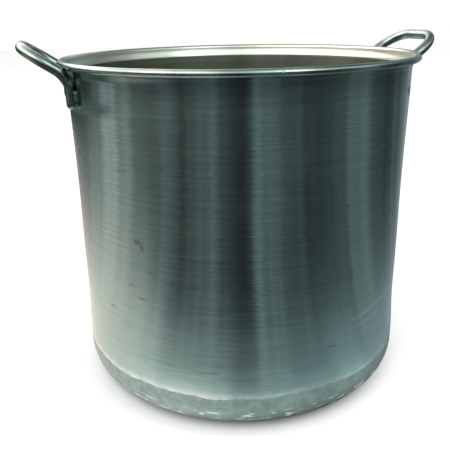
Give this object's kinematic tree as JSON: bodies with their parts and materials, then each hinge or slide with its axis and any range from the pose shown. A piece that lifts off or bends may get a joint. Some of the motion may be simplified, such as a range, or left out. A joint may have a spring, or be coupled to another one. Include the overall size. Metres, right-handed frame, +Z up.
{
  "type": "brew kettle",
  "caption": "Tall straight-sided stainless brewing pot with a rolled rim, a round-cornered flat bottom and fixed bent-rod loop handles.",
  "frame": {"origin": "centre of the underside, on the surface the kettle stands on", "axes": "+Z up through the mouth, +X towards the right handle, -Y the front"},
  "size_m": [0.457, 0.384, 0.3768],
  "materials": {
    "brushed_stainless": "circumferentially brushed stainless sheet, matte and faintly stained at the bottom corner",
    "polished_rod": "polished stainless rod",
    "weld_metal": "rippled, lightly heat-tinted fillet weld"
  },
  "bodies": {
    "root": {"kettle_shell": "brushed_stainless", "handle_left": "polished_rod", "handle_right": "polished_rod", "weld_left_front_inner": "weld_metal", "weld_left_front_outer": "weld_metal", "weld_left_rear_inner": "weld_metal", "weld_left_rear_outer": "weld_metal", "weld_right_front_inner": "weld_metal", "weld_right_front_outer": "weld_metal", "weld_right_rear_inner": "weld_metal", "weld_right_rear_outer": "weld_metal"}
  },
  "joints": []
}
